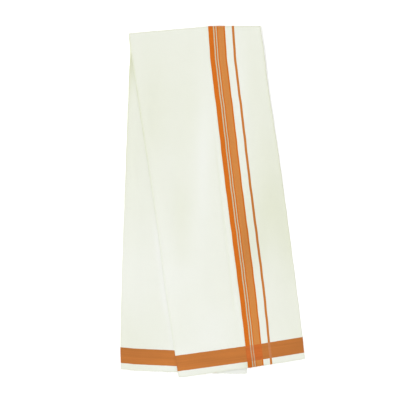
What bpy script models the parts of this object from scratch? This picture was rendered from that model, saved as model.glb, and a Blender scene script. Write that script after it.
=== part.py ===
"""A white cotton dhoti with a woven border, folded lengthwise into a strip and then once across the strip.

It lies flat. X runs across the strip, Y along it towards the fold across the strip, and Z up from the table.
The strip is rolled from one long rectangle: a narrow flap with the border lies on a wide panel, and the far
long edge is inside. The front half lies on the rear half, and the two fan apart by about 9 degrees.
"""

import math
from collections import namedtuple

import bmesh
import bpy

OBJECT_NAME = "folded_dhoti"

# Cloth walls and the gaps between them
WALL = 0.0010
GAP = 0.0003
HALF_GAP = 0.0005
CORE_DEPTH = 0.0024  # the two hidden layers of one half, pressed together

# Heights in one half of the strip, from what it rests on
PANEL_HIGH = CORE_DEPTH + GAP + WALL
FLAP_HIGH = PANEL_HIGH + GAP + WALL
FRONT_BASE = PANEL_HIGH + HALF_GAP
AXIS_DROP = HALF_GAP / 2  # the fold across turns about a line midway between the halves

# Where the front half rises over the rear half's own flap, and where it falls to the table beside it
RISE_HEIGHT = WALL + GAP
RISE_RUN = 0.090
RISE_CLEAR = 0.003
FALL_RUN = 0.120
FALL_CLEAR = 0.004

# Folded edges
LEG = 0.006  # how far a folded edge turns back under
CORE_INSET = LEG + 2 * GAP
FOLD_STEPS = 6
CROSS_FOLD_STEPS = 8
LOWER_START = 0.0006  # how far below the fold across the lower hidden layers start
REAR_PANEL_START = 0.0014
TUCK = 0.040  # how far the rear panel reaches under the front half
TUCK_SLOPE = 0.015
CORE_BITE = 0.001  # how far the lower hidden layers run up into the front half's
TURN_BITE = 0.001  # how far those that turn over run down into them
REAR_EDGE_CLEAR = 0.010
STEP_RUN = 0.003  # the step between the rear half's corner and the front half's cut end

# Cut ends of the hidden layers
END_INSETS = (0.0, 0.0006, 0.0002)  # how far each layer's end lies back, from the bottom up
RIDGE_ROUND = 0.0003
RIDGE_FOOT = 0.3
GROOVE_DEPTH = 0.0014

# Sections along the strip, and lines across it between one edge and the next
DOWN_STATIONS = (0.0, 0.03, 0.09, 0.18, 0.28, 0.38, 0.48, 0.58, 0.68, 0.78, 0.89, 1.0)
LOWER_STATIONS = DOWN_STATIONS[:-1] + (0.96, 1.0)
PANEL_LINES = 7
FLAP_LINES = 4
REAR_LINES = 4

EdgeRow = namedtuple("EdgeRow", "y x")
EndRow = namedtuple("EndRow", "x y")
Guide = namedtuple("Guide", "edge start_y end_y")
Finish = namedtuple("Finish", "colour roughness")

FRONT_FOLD = (
    EdgeRow(y=0.482, x=-0.2420),
    EdgeRow(y=0.235, x=-0.2058),
    EdgeRow(y=-0.065, x=-0.1602),
    EdgeRow(y=-0.250, x=-0.1360),
    EdgeRow(y=-0.499, x=-0.0989),
)
SELVEDGE = (
    EdgeRow(y=0.503, x=-0.0137),
    EdgeRow(y=0.406, x=-0.0083),
    EdgeRow(y=0.064, x=0.0316),
    EdgeRow(y=-0.278, x=0.0750),
    EdgeRow(y=-0.4725, x=0.0985),
)
RIGHT_FOLD = (
    EdgeRow(y=0.503, x=0.1365),
    EdgeRow(y=0.404, x=0.1500),
    EdgeRow(y=0.336, x=0.1585),
    EdgeRow(y=0.130, x=0.1890),
    EdgeRow(y=-0.075, x=0.2160),
    EdgeRow(y=-0.280, x=0.2418),
    EdgeRow(y=-0.4455, x=0.2620),
)
REAR_FOLD = (
    EdgeRow(y=0.480, x=-0.2395),
    EdgeRow(y=0.428, x=-0.2372),
    EdgeRow(y=0.370, x=-0.2400),
    EdgeRow(y=0.200, x=-0.2465),
    EdgeRow(y=-0.006, x=-0.2540),
    EdgeRow(y=-0.211, x=-0.2612),
    EdgeRow(y=-0.392, x=-0.2650),
    EdgeRow(y=-0.476, x=-0.2645),
)
REAR_SELVEDGE = (
    EdgeRow(y=0.502, x=-0.0137),
    EdgeRow(y=-0.485, x=-0.0690),
)
REAR_RIGHT = (
    EdgeRow(y=0.500, x=0.1345),
    EdgeRow(y=-0.489, x=0.0946),
)
REAR_END = (
    EndRow(x=-0.2645, y=-0.4760),
    EndRow(x=-0.2189, y=-0.4803),
    EndRow(x=-0.1035, y=-0.4838),
    EndRow(x=0.0946, y=-0.4890),
)

WHITE_COTTON = Finish(colour=(0.87, 0.87, 0.79, 1.0), roughness=0.9)
SHADED_COTTON = Finish(colour=(0.80, 0.80, 0.70, 1.0), roughness=0.9)
BORDER_COTTON = Finish(colour=(0.86, 0.72, 0.56, 1.0), roughness=0.85)
INNER_COTTON = Finish(colour=(0.78, 0.78, 0.69, 1.0), roughness=0.95)


def mix(start, end, share):
    return start + (end - start) * share


def eased(share):
    share = min(max(share, 0.0), 1.0)
    return share * share * (3.0 - 2.0 * share)


def edge_x(rows, y):
    """X of an edge at a height y, on a smooth curve through the edge's rows."""
    k = 0
    while k < len(rows) - 2 and y < rows[k + 1].y:
        k += 1
    before = rows[max(k - 1, 0)]
    low = rows[k]
    high = rows[k + 1]
    after = rows[min(k + 2, len(rows) - 1)]
    step = high.y - low.y
    t = min(max((y - low.y) / step, 0.0), 1.0)
    slope_low = (high.x - before.x) / (high.y - before.y) * step
    slope_high = (after.x - low.x) / (after.y - low.y) * step
    return (
        (2 * t**3 - 3 * t**2 + 1) * low.x
        + (t**3 - 2 * t**2 + t) * slope_low
        + (3 * t**2 - 2 * t**3) * high.x
        + (t**3 - t**2) * slope_high
    )


def end_y(rows, x):
    """Y of a cut end at x, on straight lines through the end's rows."""
    k = 0
    while k < len(rows) - 2 and x > rows[k + 1].x:
        k += 1
    share = (x - rows[k].x) / (rows[k + 1].x - rows[k].x)
    return mix(rows[k].y, rows[k + 1].y, share)


def flap_rise(x, y):
    """How far the cloth is lifted by the rear half's flap, which lies under its right side."""
    start = edge_x(REAR_SELVEDGE, y) - RISE_CLEAR - RISE_RUN
    return RISE_HEIGHT * eased((x - start) / RISE_RUN)


def front_base(x, y):
    """Height of what the front half lies on: the rear half, or the table to the right of it."""
    beside = x - edge_x(REAR_RIGHT, y) - FALL_CLEAR
    return (FRONT_BASE + flap_rise(x, y)) * (1.0 - eased(beside / FALL_RUN))


FRONT_GUIDES = (
    Guide(FRONT_FOLD, FRONT_FOLD[0].y - PANEL_HIGH - AXIS_DROP, FRONT_FOLD[-1].y),
    Guide(SELVEDGE, SELVEDGE[0].y - FLAP_HIGH - AXIS_DROP, SELVEDGE[-1].y),
    Guide(RIGHT_FOLD, RIGHT_FOLD[0].y - FLAP_HIGH - AXIS_DROP, RIGHT_FOLD[-1].y),
)


def guide_point(guide, down):
    y = mix(guide.start_y, guide.end_y, down)
    return edge_x(guide.edge, y), y


def between(first, second, distance=None, share=None):
    """A point on the line from one guide point to another, by a distance from the first or by a share."""
    if share is None:
        share = distance / math.dist(first, second)
    return mix(first[0], second[0], share), mix(first[1], second[1], share)


def panel_line_places(down):
    """Plan points across the wide panel, from just inside its left fold to just inside the right fold."""
    fold, selvedge = (guide_point(guide, down) for guide in FRONT_GUIDES[:2])
    places = [between(fold, selvedge, distance=CORE_INSET)]
    places += [between(fold, selvedge, share=k / PANEL_LINES) for k in range(1, PANEL_LINES)]
    return places + flap_line_places(down)


def flap_line_places(down):
    """Plan points across the flap, from its free selvedge to just inside the right fold."""
    selvedge, right = (guide_point(guide, down) for guide in FRONT_GUIDES[1:])
    places = [between(selvedge, right, share=k / FLAP_LINES) for k in range(FLAP_LINES)]
    places.append(between(right, selvedge, distance=CORE_INSET))
    return places


def folded_edge(edge, inward, depth):
    """Plan point and height of each point round a folded edge, from its top side to the end of its leg."""
    radius = depth / 2
    section = []
    for k in range(FOLD_STEPS + 1):
        angle = math.pi * k / FOLD_STEPS
        inset = radius * (1.0 - math.sin(angle))
        section.append((between(edge, inward, distance=inset), radius * (1.0 + math.cos(angle))))
    section.append((between(edge, inward, distance=LEG), 0.0))
    return section


def panel_section(down):
    fold, selvedge = (guide_point(guide, down) for guide in FRONT_GUIDES[:2])
    section = folded_edge(fold, selvedge, PANEL_HIGH)[::-1]
    return section + [(place, PANEL_HIGH) for place in panel_line_places(down)]


def flap_section(down):
    selvedge, right = (guide_point(guide, down) for guide in FRONT_GUIDES[1:])
    section = [(place, FLAP_HIGH) for place in flap_line_places(down)]
    return section + folded_edge(right, selvedge, FLAP_HIGH)


def turned_over(place, height, angle):
    """A point of the front half carried round the fold across the strip."""
    x, y = place
    radius = height + AXIS_DROP
    axis_z = front_base(x, y) - AXIS_DROP
    return x, y + radius * math.sin(angle), axis_z + radius * math.cos(angle)


def front_sheet(section):
    """Rows of points for a layer of the front half, from its cut end up and over the fold across."""
    rows = []
    for down in reversed(DOWN_STATIONS):
        rows.append([(*place, front_base(*place) + height) for place, height in section(down)])
    for k in range(1, CROSS_FOLD_STEPS + 1):
        angle = math.pi * k / CROSS_FOLD_STEPS
        rows.append([turned_over(place, height, angle) for place, height in section(0.0)])
    return rows


def top_y(x):
    """Y at x of the line that the fold across the strip turns about."""
    rows = [EndRow(x=edge_x(guide.edge, guide.start_y), y=guide.start_y) for guide in FRONT_GUIDES]
    return end_y(rows, x)


def rear_guide_points(down, start):
    """The rear half's fold, the line where its panel ends under the front half, and its right edge."""
    fold_y = mix(FRONT_GUIDES[0].start_y - start, REAR_END[0].y, down)
    fold = (edge_x(REAR_FOLD, fold_y), fold_y)
    tuck_x = edge_x(FRONT_FOLD, fold_y) + TUCK
    tuck = (tuck_x, mix(top_y(tuck_x) - start, end_y(REAR_END, tuck_x), down))
    right_y = mix(FRONT_GUIDES[2].start_y - start, REAR_END[-1].y, down)
    right_x = min(edge_x(REAR_RIGHT, right_y), edge_x(RIGHT_FOLD, right_y) - CORE_INSET - REAR_EDGE_CLEAR)
    return fold, tuck, (right_x, right_y)


def rear_line_places(down, start):
    fold, tuck, _ = rear_guide_points(down, start)
    places = [between(fold, tuck, distance=CORE_INSET)]
    places += [between(fold, tuck, share=k / REAR_LINES) for k in range(1, REAR_LINES + 1)]
    return places


def rear_sheet():
    """Rows of points for the rear half's top layer, from its cut end to the fold across the strip."""
    rows = []
    for down in reversed(DOWN_STATIONS):
        fold, tuck, _ = rear_guide_points(down, REAR_PANEL_START)
        section = folded_edge(fold, tuck, PANEL_HIGH)[::-1]
        section += [(place, PANEL_HIGH) for place in rear_line_places(down, REAR_PANEL_START)]
        rows.append([(*place, height + flap_rise(*place)) for place, height in section])
    return rows


def layered_end(place, low, high):
    """A cut end seen from the side, from its foot up: a ridge for each layer, with grooves between them."""
    x, y = place
    depth = (high - low) / len(END_INSETS)
    points = []
    for k, inset in enumerate(END_INSETS):
        foot = low + k * depth
        points.append((x, y + inset + RIDGE_ROUND, foot))
        points.append((x, y + inset, foot + depth * RIDGE_FOOT))
        points.append((x, y + inset, foot + depth * (1.0 - RIDGE_FOOT)))
        points.append((x, y + GROOVE_DEPTH, foot + depth))
    x, y, z = points.pop()
    return points + [(x, y - GROOVE_DEPTH + END_INSETS[-1] + RIDGE_ROUND, z)]


def front_core_ring(index):
    """One lengthwise section through the front half's hidden layers, which turn over at the fold across."""
    lines = [panel_line_places(down)[index] for down in reversed(DOWN_STATIONS)]
    base = front_base(*lines[0])
    ring = layered_end(lines[0], base, base + CORE_DEPTH)
    ring += [(*place, front_base(*place) + CORE_DEPTH) for place in lines[1:]]
    for k in range(1, CROSS_FOLD_STEPS + 1):
        ring.append(turned_over(lines[-1], CORE_DEPTH, math.pi * k / CROSS_FOLD_STEPS))
    x, y, turned_z = ring[-1]
    ring.append((x, y - TURN_BITE, turned_z))
    ring.append((x, y - TURN_BITE, front_base(x, y)))
    ring += [(*place, front_base(*place)) for place in lines[-2:0:-1]]
    return ring


def lower_core_section(down):
    """Plan points and heights across what the front half lies on: the rear half, and the space beside it."""
    _, tuck, right = rear_guide_points(down, LOWER_START)
    places = rear_line_places(down, LOWER_START)
    section = [(place, CORE_DEPTH + flap_rise(*place)) for place in places]
    places = [between(tuck, right, distance=TUCK_SLOPE)]
    places += [between(tuck, right, share=k / REAR_LINES) for k in range(1, REAR_LINES + 1)]
    near_y = FRONT_GUIDES[1].end_y if down == 1.0 else right[1]
    places.append((right[0] + STEP_RUN, near_y))
    far_y = mix(FRONT_GUIDES[2].start_y - LOWER_START, FRONT_GUIDES[2].end_y, down)
    places.append((edge_x(RIGHT_FOLD, far_y) - CORE_INSET, far_y))
    for place in places:
        high = PANEL_HIGH + flap_rise(*place) if down == 1.0 else front_base(*place) + CORE_BITE
        section.append((place, min(high, front_base(*place) + CORE_BITE)))
    return section


def lower_core_ring(index):
    """One lengthwise section through the lower core, from the table up."""
    tops = []
    for down in reversed(LOWER_STATIONS):
        place, high = lower_core_section(down)[index]
        tops.append((*place, high))
    x, y, high = tops[0]
    ring = layered_end((x, y), 0.0, high) + tops[1:]
    ring += [(x, y, 0.0) for x, y, _ in tops[:0:-1]]
    return ring


def plan_rise(first, second):
    return (second.co.x - first.co.x) * (second.co.y - first.co.y)


def add_strip(mesh, row, next_row, closed):
    """Two triangles for each step between two rows, split the same way in every layer of the stack."""
    count = len(row)
    for k in range(count if closed else count - 1):
        a, b, c, d = row[k], next_row[k], next_row[(k + 1) % count], row[(k + 1) % count]
        if plan_rise(a, c) >= plan_rise(b, d):
            corners = ((a, b, c), (a, c, d))
        else:
            corners = ((a, b, d), (b, c, d))
        for triangle in corners:
            mesh.faces.new(triangle)


def cotton(name, finish):
    material = bpy.data.materials.new(name)
    material.use_nodes = True
    shader = material.node_tree.nodes["Principled BSDF"]
    shader.inputs["Base Color"].default_value = finish.colour
    shader.inputs["Roughness"].default_value = finish.roughness
    shader.inputs["Metallic"].default_value = 0.0
    return material


def add_fan(mesh, centre, points):
    for first, second in zip(points, points[1:]):
        mesh.faces.new((centre, first, second))


def add_cap(mesh, ring, pairs):
    """Closes a side of the hidden layers: the cut end, the length between top and underside, and the turn."""
    end = len(END_INSETS) * 4
    add_fan(mesh, ring[end], ring[-1:] + ring[:end])
    for k in range(pairs - 1):
        top, next_top = ring[end + k : end + k + 2]
        mesh.faces.new((top, next_top, ring[-k - 1]))
        mesh.faces.new((next_top, ring[-k - 2], ring[-k - 1]))
    turn = ring[end + pairs - 1 : len(ring) - pairs]
    add_fan(mesh, ring[-pairs], turn)


def add_object(name, rows, finish, collection, cap_pairs=None):
    """An object lofted through rows of points: an open sheet, or a closed body where it has caps."""
    mesh = bmesh.new()
    vertices = [[mesh.verts.new(point) for point in row] for row in rows]
    for row, next_row in zip(vertices, vertices[1:]):
        add_strip(mesh, row, next_row, cap_pairs is not None)
    if cap_pairs is not None:
        add_cap(mesh, vertices[0], cap_pairs)
        add_cap(mesh, vertices[-1], cap_pairs)
    bmesh.ops.recalc_face_normals(mesh, faces=mesh.faces)
    data = bpy.data.meshes.new(name)
    mesh.to_mesh(data)
    mesh.free()
    data.materials.append(cotton(name + "_cotton", finish))
    made = bpy.data.objects.new(name, data)
    collection.objects.link(made)
    return made


def add_wall(sheet):
    """Gives an open sheet its cloth wall, on the side that faces the layers beneath."""
    top_face = max(sheet.data.polygons, key=lambda face: face.center.z)
    if top_face.normal.z < 0:
        sheet.data.flip_normals()
    wall = sheet.modifiers.new("cloth wall", "SOLIDIFY")
    wall.thickness = WALL
    wall.offset = -1.0
    wall.use_even_offset = True


def build():
    for old in list(bpy.data.objects):
        bpy.data.objects.remove(old)
    parts = bpy.data.collections.new(OBJECT_NAME)
    helpers = bpy.data.collections.new("joined_pieces")
    bpy.context.scene.collection.children.link(parts)
    bpy.context.scene.collection.children.link(helpers)

    flap = add_object("border_panel", front_sheet(flap_section), BORDER_COTTON, parts)
    panel = add_object("front_panel", front_sheet(panel_section), WHITE_COTTON, parts)
    rear = add_object("rear_panel", rear_sheet(), SHADED_COTTON, parts)
    for sheet in (flap, panel, rear):
        add_wall(sheet)

    front_lines = len(panel_line_places(0.0))
    front_rings = [front_core_ring(index) for index in range(front_lines)]
    lower_lines = len(lower_core_section(0.0))
    lower_rings = [lower_core_ring(index) for index in range(lower_lines)]
    front_pairs = len(DOWN_STATIONS) - 1
    lower_pairs = len(LOWER_STATIONS) - 1
    core = add_object("hidden_layers", front_rings, INNER_COTTON, parts, cap_pairs=front_pairs)
    lower = add_object("lower_hidden_layers", lower_rings, INNER_COTTON, helpers, cap_pairs=lower_pairs)
    lower.hide_render = True
    lower.display_type = "WIRE"
    joined = core.modifiers.new("both halves", "BOOLEAN")
    joined.operation = "UNION"
    joined.object = lower


build()
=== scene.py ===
import math
from collections import namedtuple

import bpy
import numpy as np
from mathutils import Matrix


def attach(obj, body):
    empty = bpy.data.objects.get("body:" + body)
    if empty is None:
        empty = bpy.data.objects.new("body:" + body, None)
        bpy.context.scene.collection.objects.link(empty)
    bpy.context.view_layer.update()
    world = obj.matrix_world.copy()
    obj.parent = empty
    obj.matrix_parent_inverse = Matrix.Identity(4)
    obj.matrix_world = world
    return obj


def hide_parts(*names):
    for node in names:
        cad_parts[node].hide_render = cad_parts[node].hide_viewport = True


# A white cotton dhoti with a woven orange border. One long rectangle of cloth is rolled lengthwise into a
# strip of four layers, then folded once across, and laid flat with its two halves fanned apart.
# X runs across the strip, Y along it towards the fold across, and Z up from the table. Sizes are in metres.

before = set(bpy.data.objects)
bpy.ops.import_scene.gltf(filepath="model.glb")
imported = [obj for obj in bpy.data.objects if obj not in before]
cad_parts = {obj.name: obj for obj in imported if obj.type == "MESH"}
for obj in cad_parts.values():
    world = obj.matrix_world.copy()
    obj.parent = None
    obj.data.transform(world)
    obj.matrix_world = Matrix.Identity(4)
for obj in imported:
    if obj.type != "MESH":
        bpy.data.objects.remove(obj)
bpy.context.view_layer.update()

# The woven cloth
CLOTH_WIDTH = 1.27
CLOTH_LENGTH = 1.96
CLOTH_THICK = 0.00045

# Heights in one half of the strip, as in its solids
PANEL_HIGH = 0.0037
FLAP_HIGH = 0.0050
FRONT_BASE = 0.0039  # the front half lies on the rear half, this high above the table
AXIS_DROP = (FRONT_BASE - PANEL_HIGH) / 2
TURN_ROWS = 14  # rows of points round the fold across

# Middles of the four layers, above what one half lies on
UNDER_LAYER = 0.00033
PANEL_LAYER = PANEL_HIGH - CLOTH_THICK / 2
INSIDE_LAYER = (UNDER_LAYER + PANEL_LAYER) / 2
INSIDE_SLACK = 0.0004
SELVEDGE_GAP = 0.00015
SELVEDGE_LAYER = PANEL_HIGH + CLOTH_THICK / 2 + SELVEDGE_GAP
FLAP_LAYER = FLAP_HIGH - CLOTH_THICK / 2
FLAP_LIFT_RUN = 0.035  # the flap rises from its selvedge to its fold over this width

# The lengthwise folds are pressed flatter than the strip between them, except close to the fold across
LEFT_PRESSED = 0.50
LEFT_PRESS_RUN = 0.028
RIGHT_PRESSED = 0.60
RIGHT_PRESS_RUN = 0.045
FRONT_SPRING_RUN = 0.20
REAR_SPRING_RUN = 0.06

# Where the front half rises over the rear half's own flap, and falls to the table beside it
RISE_HEIGHT = 0.0013
RISE_RUN = 0.090
RISE_CLEAR = 0.003
FALL_RUN = 0.120
FALL_CLEAR = 0.004

INNER_FOLD_INSET = 0.0045  # the inner fold at the right, from the outer fold round it
FAR_SELVEDGE_INSET = 0.012  # the far selvedge, inside the left fold
JOIN_RUN = 0.045  # the rear half leaves the front half's edges over this length

REAR_END_SHARP = 6  # the rear half's bent cut end dies away this quickly up the cloth, as a power
REAR_COVER_LEAD = 0.004  # the rear half's creases begin to die away this far outside the front's fold
REAR_COVER_RUN = 0.012  # and are gone over this width

# Small unevenness of hand folding and cutting
EDGE_STRAY = 0.0004
BROAD_WAVE = 0.00016
SMALL_WAVE = 0.00006
TURN_UNEVEN = 0.06
CUT_RUN_SHARE = 0.025  # share of a half's length, at its cut end, that the cut's strays reach
CUT_STRAY = 0.0005
CUT_DRIFT = 0.0007
END_CURL = 0.0006
ROW_SPREAD = 0.04  # rows of points stand a little further apart towards the ends of each half

Spot = namedtuple("Spot", "x y")
Guide = namedtuple("Guide", "edge start_y end_y")
Crease = namedtuple("Crease", "x y end_x end_y height half_width")
Patch = namedtuple("Patch", "x y half_x half_y amount")

# Edges of the folded cloth seen from above
FRONT_FOLD = (
    Spot(y=0.482, x=-0.2420),
    Spot(y=0.235, x=-0.2058),
    Spot(y=-0.065, x=-0.1602),
    Spot(y=-0.250, x=-0.1360),
    Spot(y=-0.499, x=-0.0989),
)
SELVEDGE = (
    Spot(y=0.503, x=-0.0150),
    Spot(y=0.406, x=-0.0082),
    Spot(y=0.250, x=0.0107),
    Spot(y=0.064, x=0.0323),
    Spot(y=-0.278, x=0.0760),
    Spot(y=-0.4718, x=0.0985),
)
RIGHT_FOLD = (
    Spot(y=0.503, x=0.1343),
    Spot(y=0.404, x=0.1478),
    Spot(y=0.336, x=0.1555),
    Spot(y=0.130, x=0.1870),
    Spot(y=-0.075, x=0.2153),
    Spot(y=-0.280, x=0.2418),
    Spot(y=-0.4465, x=0.2618),
)
REAR_FOLD = (
    Spot(y=0.480, x=-0.2395),
    Spot(y=0.428, x=-0.2372),
    Spot(y=0.370, x=-0.2400),
    Spot(y=0.200, x=-0.2465),
    Spot(y=-0.006, x=-0.2540),
    Spot(y=-0.211, x=-0.2612),
    Spot(y=-0.392, x=-0.2650),
    Spot(y=-0.476, x=-0.2645),
)
REAR_SELVEDGE = (
    Spot(y=0.502, x=-0.0150),
    Spot(y=-0.485, x=-0.0690),
)
REAR_RIGHT = (
    Spot(y=0.500, x=0.1345),
    Spot(y=-0.489, x=0.0946),
)
REAR_END = (
    Spot(x=-0.2645, y=-0.4760),
    Spot(x=-0.2189, y=-0.4796),
    Spot(x=-0.1035, y=-0.4838),
    Spot(x=0.0946, y=-0.4890),
)
FRONT_GUIDES = [
    Guide(edge, edge[0].y - high - AXIS_DROP, edge[-1].y)
    for edge, high in ((FRONT_FOLD, PANEL_HIGH), (SELVEDGE, FLAP_HIGH), (RIGHT_FOLD, FLAP_HIGH))
]
REAR_EDGES = (REAR_FOLD, REAR_SELVEDGE, REAR_RIGHT)

# Soft ridges (height above 0) and troughs (below 0) left by handling, each along a line
FRONT_CREASES = (
    Crease(x=0.0100, y=0.125, end_x=0.0670, end_y=-0.395, height=-0.00060, half_width=0.0028),
    Crease(x=0.0155, y=0.120, end_x=0.0735, end_y=-0.400, height=0.00036, half_width=0.0050),
    Crease(x=-0.143, y=0.471, end_x=-0.180, end_y=0.112, height=-0.00060, half_width=0.016),
    Crease(x=-0.072, y=0.310, end_x=-0.118, end_y=-0.150, height=-0.00075, half_width=0.018),
    Crease(x=-0.036, y=0.120, end_x=-0.030, end_y=-0.390, height=0.00070, half_width=0.020),
    Crease(x=-0.100, y=0.440, end_x=-0.060, end_y=0.395, height=-0.00030, half_width=0.012),
    Crease(x=0.100, y=0.300, end_x=0.160, end_y=-0.170, height=-0.00085, half_width=0.030),
    Crease(x=0.085, y=0.440, end_x=0.112, end_y=0.100, height=0.00050, half_width=0.016),
    Crease(x=0.165, y=-0.180, end_x=0.205, end_y=-0.360, height=0.00045, half_width=0.020),
    Crease(x=-0.105, y=-0.230, end_x=-0.060, end_y=-0.420, height=0.00040, half_width=0.022),
)
REAR_CREASES = (
    Crease(x=-0.205, y=0.080, end_x=-0.222, end_y=-0.440, height=0.00050, half_width=0.014),
    Crease(x=-0.232, y=0.250, end_x=-0.240, end_y=-0.250, height=-0.00045, half_width=0.010),
    Crease(x=-0.165, y=-0.180, end_x=-0.150, end_y=-0.450, height=-0.00040, half_width=0.014),
)

# Painted shading of the cotton, from 0 for its colour in painted shade to 1 for its most lit colour, in
# soft patches of painted light (amount above 0) and painted shade (below 0)
PLAIN_TONE = 0.62
FRONT_PAINTED_PATCHES = (
    Patch(x=-0.030, y=0.130, half_x=0.022, half_y=0.210, amount=0.30),
    Patch(x=-0.092, y=-0.060, half_x=0.026, half_y=0.150, amount=-0.26),
    Patch(x=-0.175, y=0.240, half_x=0.042, half_y=0.170, amount=-0.20),
    Patch(x=-0.080, y=0.300, half_x=0.300, half_y=0.170, amount=-0.18),
    Patch(x=0.004, y=0.290, half_x=0.030, half_y=0.140, amount=0.24),
    Patch(x=0.075, y=0.330, half_x=0.026, half_y=0.120, amount=0.30),
    Patch(x=-0.110, y=-0.210, half_x=0.070, half_y=0.110, amount=0.26),
    Patch(x=-0.010, y=-0.380, half_x=0.070, half_y=0.100, amount=0.22),
    Patch(x=0.165, y=-0.005, half_x=0.062, half_y=0.120, amount=-0.66),
    Patch(x=0.225, y=-0.110, half_x=0.040, half_y=0.090, amount=-0.42),
    Patch(x=0.128, y=-0.135, half_x=0.030, half_y=0.070, amount=-0.30),
    Patch(x=0.145, y=0.170, half_x=0.035, half_y=0.070, amount=-0.16),
    Patch(x=0.105, y=0.360, half_x=0.040, half_y=0.120, amount=-0.12),
    Patch(x=0.200, y=0.220, half_x=0.050, half_y=0.120, amount=-0.16),
    Patch(x=0.240, y=-0.260, half_x=0.070, half_y=0.120, amount=-0.16),
    Patch(x=0.096, y=-0.115, half_x=0.022, half_y=0.110, amount=-0.38),
    Patch(x=-0.080, y=-0.455, half_x=0.040, half_y=0.035, amount=0.24),
    Patch(x=0.000, y=-0.448, half_x=0.034, half_y=0.034, amount=-0.16),
    Patch(x=0.110, y=-0.462, half_x=0.030, half_y=0.014, amount=-0.80),
    Patch(x=0.250, y=-0.400, half_x=0.034, half_y=0.036, amount=-0.24),
)
REAR_PAINTED_PATCHES = (
    Patch(x=-0.235, y=0.395, half_x=0.014, half_y=0.075, amount=-0.75),
    Patch(x=-0.240, y=0.200, half_x=0.060, half_y=0.220, amount=-0.24),
    Patch(x=-0.215, y=-0.200, half_x=0.080, half_y=0.110, amount=0.16),
    Patch(x=-0.250, y=-0.380, half_x=0.080, half_y=0.070, amount=-0.18),
    Patch(x=-0.255, y=-0.455, half_x=0.060, half_y=0.032, amount=-0.16),
    Patch(x=-0.130, y=-0.455, half_x=0.036, half_y=0.032, amount=0.24),
    Patch(x=0.055, y=-0.482, half_x=0.060, half_y=0.016, amount=0.50),
)
# Fine lines of painted shade and painted light beside the selvedge and the front's left fold, each height a
# change of the painted shading
FRONT_PAINTED_LINES = (
    # A painted shade line with a painted highlight beside it, along the crease by the selvedge
    Crease(x=-0.0029, y=0.2346, end_x=0.0707, end_y=-0.4067, height=-0.28, half_width=0.0026),
    Crease(x=0.0070, y=0.2346, end_x=0.0806, end_y=-0.4067, height=0.16, half_width=0.0050),
)
# A painted light line on the rear half that offsets the shade beside the front's fold
REAR_PAINTED_LINES = (
    Crease(x=-0.1760, y=0.0000, end_x=-0.1060, end_y=-0.4900, height=0.30, half_width=0.0090),
)
FOLD_EDGE_SHADE = 0.95  # painted shade along the edges of the folds and cut ends, this much near the fold across
FOLD_EDGE_SHADE_LOW = 0.34  # and near the cut ends
FOLD_EDGE_SHADE_REACH = 0.0022
EDGE_SHADE_UNEVEN = 0.8
EDGE_SHADE_LOW_Y = -0.15  # the painted edge shade grows from here towards the fold across
EDGE_SHADE_RUN = 0.45  # over this length
CREASE_FADE = 0.25  # share of a crease's length over which it dies away at each end
CREASE_WANDER = 0.35
CREASE_UNEVEN = 0.3
TOP_FADE = 0.035  # creases and waves die away over this length below the fold across

# Colours as seen on a screen, from 0 to 255
ORANGE_YARN = (213, 111, 27)
WARM_EDGE = (212, 138, 34)
EDGE_ORANGE = (209, 110, 28)
TAN_YARN = (211, 137, 69)
PALE_YARN = (202, 193, 160)
FINE_ORANGE = (201, 124, 54)
GROUND_COTTON = (239, 241, 230)
# The cotton in painted light and in painted shade, the two ends of the painted shading
LIT_COTTON = (242, 244, 237)
SHADED_COTTON = (229, 232, 213)
CROSSED_ORANGE = (204, 108, 46)
CROSSED_PALE = (193, 162, 128)
CROSSED_FINE = (199, 130, 82)
BAND_ORANGE = (194, 119, 57)
BAND_EDGE = (183, 108, 38)
# The border's yarns from the selvedge to the ground, with their colours outside and inside the cross band
Strand = namedtuple("Strand", "width outside in_band", defaults=(CROSSED_ORANGE,))
BORDER_STRANDS = (
    Strand(width=0.0010, outside=WARM_EDGE),
    Strand(width=0.0127, outside=ORANGE_YARN),
    Strand(width=0.0033, outside=PALE_YARN, in_band=CROSSED_PALE),
    Strand(width=0.0038, outside=ORANGE_YARN),
    Strand(width=0.0029, outside=PALE_YARN, in_band=CROSSED_PALE),
    Strand(width=0.0032, outside=ORANGE_YARN),
    Strand(width=0.0168, outside=TAN_YARN),
    Strand(width=0.0034, outside=EDGE_ORANGE),
    Strand(width=0.0009, outside=WARM_EDGE),
    Strand(width=0.0192, outside=GROUND_COTTON, in_band=BAND_ORANGE),
    Strand(width=0.0070, outside=FINE_ORANGE, in_band=CROSSED_FINE),
    Strand(width=0.0058, outside=GROUND_COTTON, in_band=BAND_ORANGE),
)
BORDER_REACH = 0.080  # width that the border's colour ramp covers
STRAND_BLUR = 0.0005
BORDER_DRAWN_IN = 0.045  # the border's tighter yarns draw it narrower towards each cut end
DRAWN_IN_RUN = 0.26
HEM_WIDTH = 0.0172
BAND_WIDTH = 0.0455
BAND_EDGE_WIDTH = 0.0022
BAND_RAGGED = 0.0010  # how far the band's edges stray

# How many times a metre each grain changes, across the cloth and along it
WARP_GRAIN = (700.0, 9.0)
WEFT_GRAIN = (8.0, 640.0)
RAGGED_GRAIN = (60.0, 3.0)
BAND_GRAIN = (6.0, 330.0)
BROAD_BAND_GRAIN = (3.0, 70.0)
BORDER_GRAIN = (520.0, 4.0)

# The weave's relief, from its checks and from its uneven yarns, and how much the yarns differ in shade
CHECK_HEIGHT = 0.35
YARN_HEIGHT = 1.4
YARN_UNEVEN = 0.022
COTTON_ROUGH = 0.88
DYED_SMOOTHER = 0.12

DYED_SHADING = 0.20  # how much the painted shading darkens and lightens the dyed yarns
GLOSS_VEIL = 0.009  # what the cloth's faint gloss adds to every colour

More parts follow.
